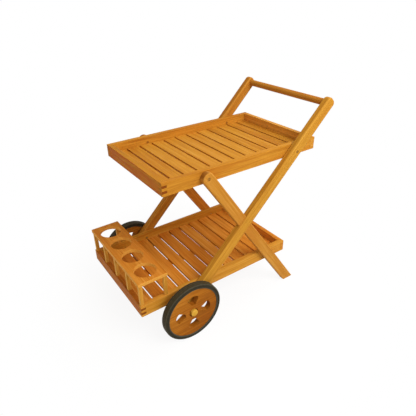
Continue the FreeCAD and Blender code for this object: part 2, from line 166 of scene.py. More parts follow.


# The boards differ in tone, as they do on the real one: dark, middle, light, blush and sawn end; the
# rack's pale sawn tone and the posts' paler timber are partly painted light
timberTones = {
    "golden": ("#AA6A1E", "#C6882B", "#D69D42", "#BF7623", "#6E4014"),
    "honey": ("#A66C21", "#C38A2C", "#D49F43", "#BD7A25", "#7A4A18"),
    "tawny": ("#A2621E", "#BD7F2A", "#CC9442", "#B56D22", "#7A4A18"),
    "amber": ("#B3681D", "#CF842B", "#DC9B43", "#C67022", "#6E4014"),
    "straw": ("#C88A32", "#E2A244", "#EBB660", "#DA973C", "#8A5A22"),
    # the pale sawn tone of the rack and the paler post timber are partly the wood, partly painted light
    # on faces in shade
    "wheat": ("#B77C28", "#CE9339", "#D8A651", "#C68932", "#FFCC66"),   # the rack's sawn faces are pale
    "rack": ("#AF651C", "#CB8028", "#DC973E", "#C16C20", "#FFC45A"),
    "copper": ("#944810", "#BC6218", "#C4952E", "#AC5216", "#6E4014"),
    "chestnut": ("#9C5517", "#B86F22", "#C88839", "#B25F1B", "#6E4014"),
    "russet": ("#7E460C", "#A46218", "#C07E2A", "#9A5414", "#643810"),
}
oiled = {tone: hardwood("oiledHardwood" + tone.capitalize(), *colours)
         for tone, colours in timberTones.items()}
paleTurned = hardwood("paleTurnedWood", "#BE8E2C", "#D0A038", "#DDB352", "#C99530", "#C69434")

# the grey ring colour is a painted highlight on the tyre's shoulders and beads
rubberFinish = {"mottle": 9 * mm, "grit": 1.2 * mm, "tones": ("#262215", "#353122"), "dust": "#4E442E",
                "scuff": "#6A6C62", "roughness": (0.46, 0.64), "ior": 1.52, "sheenLevel": 0.1,
                "bumpStrength": 0.35, "bumpDepth": 0.15 * mm}


def mouldedRubber(name):
    # black rubber from a mould: near black and dull, with a fine mottle, brown dust on the tread
    # (attribute dust) and a grey ring on the shoulders and beads that is a painted highlight, standing
    # in for light caught on their rounded edges
    material, tree = newMaterial(name)
    s = rubberFinish
    place = addNode(tree, "ShaderNodeTexCoord").outputs["Object"]
    mottle = addNode(tree, "ShaderNodeTexNoise", {
        "Vector": place, "Scale": 1 / s["mottle"], "Detail": 3.0, "Roughness": 0.6}).outputs[0]
    grit = addNode(tree, "ShaderNodeTexNoise", {
        "Vector": place, "Scale": 1 / s["grit"], "Detail": 2.0}).outputs[0]
    dust = addNode(tree, "ShaderNodeAttribute", attribute_name="dust").outputs["Fac"]
    scuff = addNode(tree, "ShaderNodeAttribute", attribute_name="scuff").outputs["Fac"]
    black = addNode(tree, "ShaderNodeMix", {
        0: mottle, 6: toLinear(s["tones"][0]), 7: toLinear(s["tones"][1])}, data_type="RGBA").outputs[2]
    dustMask = addNode(tree, "ShaderNodeMath", {0: dust, 1: mottle}, operation="MULTIPLY").outputs[0]
    dusty = addNode(tree, "ShaderNodeMix", {0: dustMask, 6: black, 7: toLinear(s["dust"])},
                    data_type="RGBA").outputs[2]
    paintedHighlightMask = addNode(tree, "ShaderNodeMath", {0: scuff, 1: mottle}, operation="MULTIPLY").outputs[0]
    colour = addNode(tree, "ShaderNodeMix", {0: paintedHighlightMask, 6: dusty, 7: toLinear(s["scuff"])},
                     data_type="RGBA").outputs[2]
    rough = addNode(tree, "ShaderNodeMapRange", {
        "Value": mottle, "From Min": noiseSpan[0], "From Max": noiseSpan[1],
        "To Min": s["roughness"][0], "To Max": s["roughness"][1]}).outputs[0]
    bump = addNode(tree, "ShaderNodeBump", {
        "Height": grit, "Strength": s["bumpStrength"], "Distance": s["bumpDepth"]}).outputs[0]
    shader = addNode(tree, "ShaderNodeBsdfPrincipled", {
        "Base Color": colour, "Roughness": rough, "IOR": s["ior"],
        "Specular IOR Level": s["sheenLevel"], "Normal": bump})
    finishMaterial(tree, shader.outputs[0])
    return material


platedFinish = {"cloud": 5 * mm, "dulling": 0.18}
nylonFinish = {"cloud": 7 * mm, "tones": ("#E4E1D6", "#D2CFC3"), "roughness": 0.42, "ior": 1.53}


def platedMetal(name, bright, dull, roughness):
    # thin plating over turned metal: a soft shine, clouded in patches where it has dulled
    material, tree = newMaterial(name)
    place = addNode(tree, "ShaderNodeTexCoord").outputs["Object"]
    cloud = addNode(tree, "ShaderNodeTexNoise", {
        "Vector": place, "Scale": 1 / platedFinish["cloud"], "Detail": 3.0,
        "Roughness": 0.6}).outputs[0]
    colour = addNode(tree, "ShaderNodeMix", {
        0: cloud, 6: toLinear(bright), 7: toLinear(dull)}, data_type="RGBA").outputs[2]
    rough = addNode(tree, "ShaderNodeMapRange", {
        "Value": cloud, "From Min": noiseSpan[0], "From Max": noiseSpan[1],
        "To Min": roughness, "To Max": roughness + platedFinish["dulling"]}).outputs[0]
    shader = addNode(tree, "ShaderNodeBsdfPrincipled", {
        "Base Color": colour, "Metallic": 1.0, "Roughness": rough})
    finishMaterial(tree, shader.outputs[0])
    return material


def mouldedNylon(name):
    # natural nylon: milky off-white, satin, with faint flow clouds
    material, tree = newMaterial(name)
    s = nylonFinish
    place = addNode(tree, "ShaderNodeTexCoord").outputs["Object"]
    cloud = addNode(tree, "ShaderNodeTexNoise", {"Vector": place, "Scale": 1 / s["cloud"]}).outputs[0]
    colour = addNode(tree, "ShaderNodeMix", {
        0: cloud, 6: toLinear(s["tones"][0]), 7: toLinear(s["tones"][1])}, data_type="RGBA").outputs[2]
    shader = addNode(tree, "ShaderNodeBsdfPrincipled", {
        "Base Color": colour, "Roughness": s["roughness"], "IOR": s["ior"]})
    finishMaterial(tree, shader.outputs[0])
    return material


blackRubber = mouldedRubber("mouldedBlackRubber")
zincSteel = platedMetal("zincPlatedSteel", "#C9CACB", "#9FA1A3", 0.28)
dullBrass = platedMetal("dulledBrass", "#C08A3C", "#946628", 0.46)
nylon = mouldedNylon("mouldedNylon")
print("materials made:", len(bpy.data.materials))


# A face counts as sawn the more it faces along the grain, and as worn the more it lies aslant
facingStyle = {"sawnFrom": 0.5, "sawnSpan": 0.4, "wornSpan": 0.2}


def giveGrain(mesh, along, across, number, ends=1.0, worn=1.0, sides=0.0, top=0.0):
    # the board's own directions, moved to a place of its own in the timber; the end and side shares say
    # how much its end and side faces show of the sawn tone, on the rack and its posts a pale tone that
    # is partly painted light; worn and top how far its edges and top are rubbed
    s = facingStyle
    pick = random.Random(number)
    shift = Vector([pick.uniform(0, timberReach) for way in range(3)])
    tone = pick.random()
    ways = (along, across, along.cross(across))
    shifts = mesh.attributes.get("shift")                # a row of boards brings its own
    grain = mesh.attributes.new("grain", "FLOAT_VECTOR", "POINT")
    for k, vertex in enumerate(mesh.vertices):
        own = shifts.data[k].vector if shifts else shift
        grain.data[k].vector = Vector([vertex.co.dot(way) for way in ways]) + own
    if not shifts:
        board = mesh.attributes.new("board", "FLOAT", "POINT")
        board.data.foreach_set("value", [tone] * len(mesh.vertices))
    sawnShare, wornShare = [], []
    for face in mesh.polygons:
        facing = [abs(face.normal.dot(way)) for way in ways]
        cut = [min(1.0, max(0.0, (f - s["sawnFrom"]) / s["sawnSpan"])) for f in facing]
        aslant = min(1.0, (1 - max(facing)) / s["wornSpan"])
        sawnShare.append(max(ends * cut[0], sides * cut[1]))
        wornShare.append(max(worn * aslant, top * face.normal.z))
    mesh.attributes.new("endGrain", "FLOAT", "FACE").data.foreach_set("value", sawnShare)
    mesh.attributes.new("worn", "FLOAT", "FACE").data.foreach_set("value", wornShare)


def smoothMesh(mesh, angle=32):
    # soft shading between faces that meet at a low angle, weighed by area to keep flat faces flat
    mesh.polygons.foreach_set("use_smooth", [True] * len(mesh.polygons))
    limit = math.cos(math.radians(angle))
    normals = [face.normal.copy() for face in mesh.polygons]
    weighed = [face.normal * face.area for face in mesh.polygons]
    around = [[] for vertex in mesh.vertices]
    for face in mesh.polygons:
        for corner in face.vertices:
            around[corner].append(face.index)
    shading = []
    for face in mesh.polygons:
        own = normals[face.index]
        for corner in face.vertices:
            near = [weighed[f] for f in around[corner] if normals[f].dot(own) > limit]
            shading.append(sum(near, Vector()).normalized())
    mesh.normals_split_custom_set(shading)
    mesh.update()


def addPiece(name, mesh, material, body, nodes):
    mesh.materials.clear()
    mesh.materials.append(material)
    piece = bpy.data.objects.new(name, mesh)
    bpy.context.scene.collection.objects.link(piece)
    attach(piece, body)
    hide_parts(*nodes)


def mergedCad(node):
    work = bmesh.new()
    work.from_mesh(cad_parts[node].data)
    bmesh.ops.remove_doubles(work, verts=work.verts, dist=0.01 * mm)
    bmesh.ops.dissolve_limit(work, angle_limit=math.radians(0.5), verts=work.verts, edges=work.edges)
    return work


def solidCopy(node):
    # a merged copy of a CAD node's mesh, with each flat face in one
    mesh = bpy.data.meshes.new(node + "Copy")
    work = mergedCad(node)
    work.to_mesh(mesh)
    work.free()
    return mesh


def meshFrom(work, name):
    bmesh.ops.recalc_face_normals(work, faces=work.faces)
    mesh = bpy.data.meshes.new(name)
    work.to_mesh(mesh)
    work.free()
    return mesh


def easeEdges(work, easing, steps):
    # rounds off every sharp edge
    sharp = [e for e in work.edges if e.calc_face_angle(0) > math.radians(60)]
    bmesh.ops.bevel(work, geom=sharp, offset=easing, segments=steps, profile=0.6, affect="EDGES",
                    clamp_overlap=True)


# Tray rails: boards whose ends are combed into fingers that lock at the corners
railStyle = {"fingers": 5, "easing": 1.1 * mm, "easingSteps": 2}


def combedRail(node, lengthAxis, endsOut):
    # endsOut is 0 where the first finger from below belongs to this rail, and 1 where it doesn't
    low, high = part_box(node)
    i = "xyz".index(lengthAxis)
    t = 1 - i                                    # the thickness runs along the other level axis
    thick = high[t] - low[t]
    step = (high.z - low.z) / railStyle["fingers"]
    left, right = [], []
    for level in range(railStyle["fingers"]):
        inset = 0.0 if level % 2 == endsOut else thick
        for z in (low.z + level * step, low.z + (level + 1) * step):
            left.append((low[i] + inset, z))
            right.append((high[i] - inset, z))
    outline = right + left[::-1]
    work = bmesh.new()
    rows = []
    for level in (low[t], high[t]):
        row = []
        for along, z in outline:
            place = [0, 0, z]
            place[i], place[t] = along, level
            row.append(work.verts.new(place))
        rows.append(row)
    work.faces.new(rows[0])
    work.faces.new(rows[1][::-1])
    for k in range(len(outline)):
        n = (k + 1) % len(outline)
        work.faces.new((rows[0][n], rows[0][k], rows[1][k], rows[1][n]))
    bmesh.ops.recalc_face_normals(work, faces=work.faces)
    easeEdges(work, railStyle["easing"], railStyle["easingSteps"])
    return meshFrom(work, node + "Board")


frontTimber = {"upper": oiled["copper"], "lower": oiled["chestnut"]}
backTimber = {"upper": oiled["straw"], "lower": oiled["amber"]}
rubbedTop = {"upper": 1.0, "lower": 0.0}         # hands reach the front of the upper tray only
number = 0
for tray in ("upper", "lower"):
    for side, lengthAxis, endsOut, timber, ends, top in (
            ("left", "x", 0, oiled["golden"], 0.35, 0.0),
            ("right", "x", 0, oiled["golden"], 0.35, 0.0),
            ("front", "y", 1, frontTimber[tray], 1.0, rubbedTop[tray]),
            ("back", "y", 1, backTimber[tray], 0.25, 0.0)):
        node = tray + "_" + side + "_rail"
        number += 1
        mesh = combedRail(node, lengthAxis, endsOut)
        giveGrain(mesh, alongX if lengthAxis == "x" else alongY, alongZ, number, ends, top=top)
        smoothMesh(mesh)
        addPiece(tray + side.capitalize() + "Rail", mesh, timber, "frame", [node])
print("rails made:", number)


def newTree(name, sockets):
    # an empty geometry tree and its named inputs
    tree = bpy.data.node_groups.new(name, "GeometryNodeTree")
    for title, kind in sockets:
        tree.interface.new_socket(name=title, in_out="INPUT", socket_type="NodeSocket" + kind)
    tree.interface.new_socket(name="Geometry", in_out="OUTPUT", socket_type="NodeSocketGeometry")
    return tree, addNode(tree, "NodeGroupInput").outputs


# A row of like boards: one rounded board swept along a line and set out at a steady pitch.
# It makes the slats and the rack's posts.
def boardRowTree():
    tree, given = newTree("boardRow", (
        ("Count", "Int"), ("Start", "Vector"), ("Step", "Vector"), ("Run", "Vector"),
        ("Width", "Float"), ("Thickness", "Float"), ("Easing", "Float"), ("Seed", "Int"),
        ("Timber", "Material")))
    outline = addNode(tree, "GeometryNodeCurvePrimitiveQuadrilateral",
                      {"Width": given["Width"], "Height": given["Thickness"]},
                      mode="RECTANGLE").outputs[0]
    outline = addNode(tree, "GeometryNodeFilletCurve",
                      {"Curve": outline, "Count": 3, "Radius": given["Easing"]}, mode="POLY").outputs[0]
    path = addNode(tree, "GeometryNodeCurvePrimitiveLine", {"End": given["Run"]},
                   mode="POINTS").outputs[0]
    path = addNode(tree, "GeometryNodeSetCurveNormal", {"Curve": path}, mode="Z_UP").outputs[0]
    board = addNode(tree, "GeometryNodeCurveToMesh",
                    {"Curve": path, "Profile Curve": outline, "Fill Caps": True}).outputs[0]
    places = addNode(tree, "GeometryNodeMeshLine", {
        "Count": given["Count"], "Start Location": given["Start"], "Offset": given["Step"]},
        mode="OFFSET").outputs[0]
    row = addNode(tree, "GeometryNodeInstanceOnPoints", {
        "Points": places, "Instance": board}).outputs[0]

    # each board comes from its own place in the timber and has its own tone
    far = addNode(tree, "FunctionNodeRandomValue", {
        "Min": (0, 0, 0), "Max": (timberReach,) * 3, "Seed": given["Seed"]},
        data_type="FLOAT_VECTOR").outputs[0]
    row = addNode(tree, "GeometryNodeStoreNamedAttribute", {
        "Geometry": row, "Name": "shift", "Value": far},
        data_type="FLOAT_VECTOR", domain="INSTANCE").outputs[0]
    toneSeed = addNode(tree, "ShaderNodeMath", {0: given["Seed"], 1: 50.0},      # any other seed
                       operation="ADD").outputs[0]
    tone = addNode(tree, "FunctionNodeRandomValue", {2: 0.0, 3: 1.0, "Seed": toneSeed},
                   data_type="FLOAT").outputs[1]
    row = addNode(tree, "GeometryNodeStoreNamedAttribute", {
        "Geometry": row, "Name": "board", "Value": tone},
        data_type="FLOAT", domain="INSTANCE").outputs[0]
    row = addNode(tree, "GeometryNodeRealizeInstances", {"Geometry": row}).outputs[0]
    row = addNode(tree, "GeometryNodeSetMaterial", {
        "Geometry": row, "Material": given["Timber"]}).outputs[0]
    addNode(tree, "NodeGroupOutput", {"Geometry": row})
    return tree


def growMesh(tree, name, values, seedMesh=None):
    # runs a node tree on a helper object and keeps the result as a plain mesh
    helper = bpy.data.objects.new(name + "Helper", seedMesh or bpy.data.meshes.new(name + "Seed"))
    bpy.context.scene.collection.objects.link(helper)
    modifier = helper.modifiers.new("grow", "NODES")
    modifier.node_group = tree
    for socket in tree.interface.items_tree:
        if socket.in_out == "INPUT" and socket.name in values:
            modifier[socket.identifier] = values[socket.name]
    helper.update_tag()
    depsgraph = bpy.context.evaluated_depsgraph_get()
    mesh = bpy.data.meshes.new_from_object(helper.evaluated_get(depsgraph),
                                           preserve_all_data_layers=True, depsgraph=depsgraph)
    mesh.name = name
    helper.modifiers.remove(modifier)
    bpy.data.objects.remove(helper)
    return mesh


boardRow = boardRowTree()
slatStyle = {"count": 12, "easing": 1.2 * mm}
for tray, timber, seed in (("upper", oiled["golden"], 140), ("lower", oiled["amber"], 14)):
    names = ["%s_slat_%02d" % (tray, k + 1) for k in range(slatStyle["count"])]
    low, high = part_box(names[0])
    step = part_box(names[1])[0].x - low.x
    middle = (low + high) / 2
    mesh = growMesh(boardRow, tray + "SlatRow", {
        "Count": slatStyle["count"], "Start": (middle.x, low.y, middle.z), "Step": (step, 0, 0),
        "Run": (0, high.y - low.y, 0), "Width": high.x - low.x, "Thickness": high.z - low.z,
        "Easing": slatStyle["easing"], "Seed": seed, "Timber": timber})
    giveGrain(mesh, alongY, alongX, seed)
    smoothMesh(mesh)
    addPiece(tray + "Slats", mesh, timber, "frame", names)
    print(tray, "slats made:", len(mesh.polygons), "faces")

# Rack posts: five under the front edge and two behind, each a slim square stick
# the posts' pale timber and the pale sawn tone on their fronts and backs are partly painted light on
# faces in shade
postStyle = {"side": 14 * mm, "easing": 1.4 * mm, "paintedLightShare": 0.8, "seeds": 20}
for row, count in (("front", 5), ("back", 2)):
    node = row + "_rack_posts"
    seed = postStyle["seeds"] + count
    low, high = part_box(node)
    first = low.y + postStyle["side"] / 2
    last = high.y - postStyle["side"] / 2
    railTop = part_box("lower_left_rail")[1].z
    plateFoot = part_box("rack_plate")[0].z
    mesh = growMesh(boardRow, row + "PostRow", {
        "Count": count, "Start": ((low.x + high.x) / 2, first, railTop),
        "Step": (0, (last - first) / (count - 1), 0), "Run": (0, 0, plateFoot - railTop),
        "Width": postStyle["side"], "Thickness": postStyle["side"], "Easing": postStyle["easing"],
        "Seed": seed, "Timber": oiled["wheat"]})
    giveGrain(mesh, alongZ, alongX, seed, sides=postStyle["paintedLightShare"])
    smoothMesh(mesh)
    addPiece(row + "RackPosts", mesh, oiled["wheat"], "frame", [node])
print("posts made")


# Legs, handle, rack plate, cleats and battens keep the CAD shape and get their own grain
def runOf(node):
    # the way a straight timber runs: that of its longest edge
    work = mergedCad(node)
    first, last = max(work.edges, key=lambda edge: edge.calc_length()).verts
    way = (last.co - first.co).normalized()
    work.free()
    return way


longWay = runOf("left_long_leg")
shortWay = runOf("left_short_leg")
longTimber = {"left": oiled["honey"], "right": oiled["tawny"]}
shortTimber = {"left": oiled["tawny"], "right": oiled["amber"]}
underSlats = (alongX, alongY, oiled["amber"], "slat_wood", 1.0, 0.0, 0.0)
shapedPieces = []      # node, along, across, timber, slot, then shares: ends, worn edges, sides
for side in ("left", "right"):
    shapedPieces += [
        (side + "_long_leg", longWay, longWay.cross(alongY), longTimber[side],
         "frame_wood", 0.3, 0.6, 0.0),
        (side + "_short_leg", shortWay, shortWay.cross(alongY), shortTimber[side],
         "frame_wood", 0.9, 0.8, 0.0),
        ("upper_" + side + "_cleat", *underSlats),
        ("lower_" + side + "_cleat", *underSlats)]
shapedPieces += [
    ("upper_batten", *underSlats),
    ("lower_batten", *underSlats),
    ("handle_bar", alongY, alongX, oiled["tawny"], "frame_wood", 1.0, 0.0, 0.0),
    # the rack plate's pale upright faces are partly the cut wood, partly painted light on its shaded
    # front edge
    ("rack_plate", alongY, alongX, oiled["rack"], "rack_wood", 0.9, 0.8, 1.0)]
firstShaped = 40       # seeds of these pieces' places in the timber count from here
for k, (node, along, across, timber, slot, ends, worn, sides) in enumerate(shapedPieces):
    words = node.split("_")
    mesh = solidCopy(node)
    giveGrain(mesh, along, across, firstShaped + k, ends, worn, sides)
    smoothMesh(mesh)
    name = words[0] + "".join(w.capitalize() for w in words[1:])
    addPiece(name, mesh, timber, "frame", [node])
    print(node, len(mesh.polygons), "faces")


# Wheels: a wooden disc with a rubber tyre around it and a turned cap on the axle's end
def turned(profile, middle, segments, closed):
    # spins a list of (radius, y) about the wheel's axis
    work = bmesh.new()
    rings = []
    for radius, y in profile:
        count = segments if radius > 0 else 1
        rings.append([work.verts.new((
            middle.x + radius * math.cos(2 * math.pi * k / segments), y,
            middle.z + radius * math.sin(2 * math.pi * k / segments))) for k in range(count)])
    pairs = list(zip(rings, rings[1:])) + ([(rings[-1], rings[0])] if closed else [])
    for a, b in pairs:
        for k in range(segments):
            n = (k + 1) % segments
            corners = [a[k % len(a)], a[n % len(a)], b[n % len(b)], b[k % len(b)]]
            work.faces.new(list(dict.fromkeys(corners)))
    return work


def arc(r, y, radius, start, end, steps):
    # points of a rounded corner in the (radius, y) plane, angles in degrees from outwards
    turns = [math.radians(start + (end - start) * k / steps) for k in range(steps + 1)]
    return [(r + radius * math.cos(a), y + radius * math.sin(a)) for a in turns]


tyreStyle = {"segments": 144, "smoothAngle": 40, "shoulder": 6.5 * mm, "lip": 2.5 * mm,
             "shoulderSteps": 6, "grooves": 3, "grooveWidth": 2.4 * mm, "grooveDepth": 1.6 * mm,
             "grooveFloor": 0.6, "beadRound": 1.8 * mm, "beadSteps": 3, "beadWidth": 6 * mm,
             "sideStep": 0.9 * mm}
# where the tyre's dust lies, and where its painted highlight sits on the shoulders and beads
tyreDustAndHighlight = {"dustDepth": 4 * mm, "shoulderPlace": 1.6 * mm, "shoulderReach": 2.6 * mm,
            "shoulderShare": 0.4, "beadPlace": 0.6 * mm, "beadReach": 2.4 * mm}


def tyreProfile(radius, bore, y0, y1):
    # from the bead on one side, over the tread, to the bead on the other
    s = tyreStyle
    shoulder, bead = s["shoulder"], s["beadRound"]
    step, ring = s["sideStep"], bore + s["beadWidth"]
    points = arc(bore + bead, y0 + bead, bead, 180, 270, s["beadSteps"])
    points += [(ring, y0), (ring + step, y0 + step),
               (ring + 3 * step, y0 + step), (ring + 4 * step, y0)]
    points += arc(radius - shoulder, y0 + shoulder, shoulder, 270, 360, s["shoulderSteps"])
    pitch = (y1 - y0) / (s["grooves"] + 1)
    for k in range(s["grooves"]):
        middle = y0 + (k + 1) * pitch
        half = s["grooveWidth"] / 2
        floorHalf = half * s["grooveFloor"]
        floorRadius = radius - s["grooveDepth"]
        points += [(radius, middle - half), (floorRadius, middle - floorHalf),
                   (floorRadius, middle + floorHalf), (radius, middle + half)]
    points += arc(radius - shoulder, y1 - shoulder, shoulder, 0, 90, s["shoulderSteps"])
    points += [(ring + 4 * step, y1), (ring + 3 * step, y1 - step),
               (ring + step, y1 - step), (ring, y1)]
    points += arc(bore + bead, y1 - bead, bead, 90, 180, s["beadSteps"])
    return points


def giveDustAndHighlight(mesh, middle, radius, bore, y0, y1):
    # brown dust where the tread meets the ground, and a painted highlight half way round each shoulder
    # and one on each bead, standing in for light caught on their rounded edges
    s = tyreDustAndHighlight
    dust = mesh.attributes.new("dust", "FLOAT", "POINT")
    scuff = mesh.attributes.new("scuff", "FLOAT", "POINT")
    for k, vertex in enumerate(mesh.vertices):
        below = radius - math.hypot(vertex.co.x - middle.x, vertex.co.z - middle.z)
        inward = min(vertex.co.y - y0, y1 - vertex.co.y)
        dust.data[k].value = min(1.0, max(0.0, 1 - below / s["dustDepth"]))
        offShoulder = math.hypot(below - s["shoulderPlace"], inward - s["shoulderPlace"])
        offBead = math.hypot(radius - below - bore - s["beadPlace"], inward - s["beadPlace"])
        scuff.data[k].value = max(0.0, s["shoulderShare"] * (1 - offShoulder / s["shoulderReach"]),
                                  1 - offBead / s["beadReach"])


discStyle = {"easing": 1.2 * mm, "easingSteps": 2, "endGrain": 0.35, "sapwood": (-0.8, 0.6),
             "seeds": 70}
capStyle = {"dome": 1.6 * mm, "round": 3.2 * mm, "segments": 48, "smoothAngle": 50, "seeds": 80}


def easedCopy(node, easing, steps):
    # a CAD shape with its sharp edges eased
    work = mergedCad(node)
    easeEdges(work, easing, steps)
    return meshFrom(work, node + "Eased")


def paintDiscShading(mesh, middle, radius):
    # the disc is painted paler towards its front and top and darker towards its back and bottom:
    # painted light and shade
    for k, vertex in enumerate(mesh.vertices):
        away = vertex.co - middle
        towards = (away.x * discStyle["sapwood"][0] + away.z * discStyle["sapwood"][1]) / radius
        mesh.attributes["board"].data[k].value = 0.5 + towards


def capProfile(reach, inner, outer, sign):
    # from the flat back, round the rim and over the dome to its crown
    dome, rounding = capStyle["dome"], capStyle["round"]
    rim = outer - sign * dome
    crown = reach - rounding
    points = [(0, inner), (reach, inner), (reach, rim - sign * rounding)]
    points += [(reach - rounding * (1 - math.cos(a)), rim - sign * rounding * (1 - math.sin(a)))
               for a in (math.pi / 8, math.pi / 4, 3 * math.pi / 8, math.pi / 2)]
    points += [(crown * f, outer - sign * dome * f * f) for f in (0.75, 0.5, 0.25)]
    return points + [(0, outer)]


for side, sign in (("left", -1), ("right", 1)):
    body = side + "_wheel"
    low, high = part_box(side + "_tyre")
    middle = (low + high) / 2
    radius = (high.z - low.z) / 2
    discLow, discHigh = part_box(side + "_wheel_disc")
    bore = (discHigh.z - discLow.z) / 2 - tyreStyle["lip"]
    profile = tyreProfile(radius, bore, low.y, high.y)
    work = turned(profile, middle, tyreStyle["segments"], closed=True)
    mesh = meshFrom(work, side + "TyreRing")
    giveDustAndHighlight(mesh, middle, radius, bore, low.y, high.y)
    smoothMesh(mesh, tyreStyle["smoothAngle"])
    addPiece(side + "Tyre", mesh, blackRubber, body, [side + "_tyre"])

    mesh = easedCopy(side + "_wheel_disc", discStyle["easing"], discStyle["easingSteps"])
    giveGrain(mesh, alongX, alongZ, discStyle["seeds"] + sign, discStyle["endGrain"])
    # painted light and shade across the disc
    paintDiscShading(mesh, middle, radius)
    smoothMesh(mesh)
    addPiece(side + "WheelDisc", mesh, oiled["russet"], body, [side + "_wheel_disc"])

    low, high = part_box(side + "_hub_cap")
    reach = (high.z - low.z) / 2
    outer, inner = (low.y, high.y) if sign < 0 else (high.y, low.y)
    profile = capProfile(reach, inner, outer, sign)
    work = turned(profile, middle, capStyle["segments"], closed=False)
    mesh = meshFrom(work, side + "HubTurning")
    giveGrain(mesh, alongX, alongZ, capStyle["seeds"] + sign)
    smoothMesh(mesh, capStyle["smoothAngle"])
    addPiece(side + "HubCap", mesh, paleTurned, "frame", [side + "_hub_cap"])
print("wheels made")


# Screws, bolts and nuts: one slotted fastener set out in rows and columns, each turned by chance
def fastenerFieldTree():
    tree, given = newTree("fastenerField", (
        ("Fastener", "Geometry"), ("Columns", "Int"), ("Rows", "Int"), ("Start", "Vector"),
        ("Column Step", "Vector"), ("Row Step", "Vector"), ("Axis", "Vector"), ("Seed", "Int"),
        ("Finish", "Material")))
    column = addNode(tree, "GeometryNodeMeshLine", {
        "Count": given["Columns"], "Offset": given["Column Step"]}, mode="OFFSET").outputs[0]
    rows = addNode(tree, "GeometryNodeMeshLine", {
        "Count": given["Rows"], "Start Location": given["Start"], "Offset": given["Row Step"]},
        mode="OFFSET").outputs[0]
    places = addNode(tree, "GeometryNodeInstanceOnPoints", {
        "Points": rows, "Instance": column}).outputs[0]
    places = addNode(tree, "GeometryNodeRealizeInstances", {"Geometry": places}).outputs[0]
    angle = addNode(tree, "FunctionNodeRandomValue", {2: 0.0, 3: math.pi, "Seed": given["Seed"]},
                    data_type="FLOAT").outputs[1]
    turn = addNode(tree, "FunctionNodeAxisAngleToRotation", {
        "Axis": given["Axis"], "Angle": angle}).outputs[0]
    field = addNode(tree, "GeometryNodeInstanceOnPoints", {
        "Points": places, "Instance": given["Fastener"], "Rotation": turn}).outputs[0]
    field = addNode(tree, "GeometryNodeRealizeInstances", {"Geometry": field}).outputs[0]
    field = addNode(tree, "GeometryNodeSetMaterial", {
        "Geometry": field, "Material": given["Finish"]}).outputs[0]
    addNode(tree, "NodeGroupOutput", {"Geometry": field})
    return tree


def prism(work, outline, z0, z1, grow=0.0):
    # an upright prism on a level outline, its foot larger by grow
    foot = [1 + grow / math.hypot(x, y) for x, y in outline]
    low = [work.verts.new((x * f, y * f, z0)) for (x, y), f in zip(outline, foot)]
    high = [work.verts.new((x, y, z1)) for x, y in outline]
    work.faces.new(low[::-1])
    work.faces.new(high)
    for k in range(len(outline)):
        n = (k + 1) % len(outline)
        work.faces.new((low[k], low[n], high[n], high[k]))


headSides = 20                   # corners of a round head


def slottedFastener(style):
    # head up, its top at z = 0: two half moons beside a sunk strip, a collar under them, and the shank
    work = bmesh.new()
    r, slot, depth, chamfer = style["head"], style["slot"] / 2, style["slotDepth"], style["chamfer"]
    start = math.asin(slot / r)
    steps = headSides // 2
    turns = [start + (math.pi - 2 * start) * k / steps for k in range(steps + 1)]
    moon = [(r * math.cos(a), r * math.sin(a)) for a in turns]
    inner = [(x * (1 - chamfer / r), slot + (y - slot) * (1 - chamfer / r)) for x, y in moon]
    for side in (1, -1):
        order = [(x, y * side) for x, y in inner][::side]
        prism(work, order, -depth, 0, chamfer)
    turns = [2 * math.pi * k / headSides for k in range(headSides)]
    ring = [(r * math.cos(a), r * math.sin(a)) for a in turns]
    prism(work, ring, -style["collar"], -depth)
    shank = [(x * style["shank"] / r, y * style["shank"] / r) for x, y in ring]
    prism(work, shank, -style["length"], -style["collar"])
    return work


def aimed(work, way):
    # lays a fastener so that its head points along a level axis or down
    turn = alongZ.rotation_difference(way).to_matrix().to_4x4()
    bmesh.ops.transform(work, matrix=turn, verts=work.verts)
    return meshFrom(work, "fastener")


def withMirror(mesh):
    # the same fasteners again on the other side of the trolley
    work = bmesh.new()
    work.from_mesh(mesh)
    copy = bmesh.ops.duplicate(work, geom=work.verts[:] + work.edges[:] + work.faces[:])["geom"]
    moved = [v for v in copy if isinstance(v, bmesh.types.BMVert)]
    for vertex in moved:
        vertex.co.y = -vertex.co.y
    bmesh.ops.reverse_faces(work, faces=[f for f in copy if isinstance(f, bmesh.types.BMFace)])
    work.to_mesh(mesh)
    work.free()


def leftPair(node):
    # boxes of the two fasteners on the left-hand side, the front one first
    points = [v.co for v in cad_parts[node].data.vertices if v.co.y < 0]
    split = (min(p.x for p in points) + max(p.x for p in points)) / 2
    boxes = []
    for group in ([p for p in points if p.x < split], [p for p in points if p.x > split]):
        low = Vector([min(p[k] for p in group) for k in range(3)])
        high = Vector([max(p[k] for p in group) for k in range(3)])
        boxes.append((low, high))
    return boxes


fastenerField = fastenerFieldTree()
slatScrewStyle = {"head": 3.4 * mm, "slot": 1.1 * mm, "slotDepth": 0.7 * mm, "chamfer": 0.3 * mm,
                  "collar": 1.5 * mm, "shank": 1.7 * mm, "length": 9 * mm}
legScrewStyle = {"head": 4.4 * mm, "slot": 1.2 * mm, "slotDepth": 0.8 * mm, "chamfer": 0.4 * mm,
                 "collar": 2.0 * mm, "shank": 2.2 * mm, "length": 33 * mm}
legBoltStyle = {"head": 6.0 * mm, "slot": 1.3 * mm, "slotDepth": 0.8 * mm, "chamfer": 0.8 * mm,
                "collar": 2.5 * mm, "shank": 3.0 * mm, "length": 20 * mm}
legNutStyle = {"head": 5.5 * mm, "slot": 1.3 * mm, "slotDepth": 0.7 * mm, "chamfer": 0.5 * mm,
               "collar": 1.6 * mm, "shank": 4.2 * mm, "length": 14 * mm}

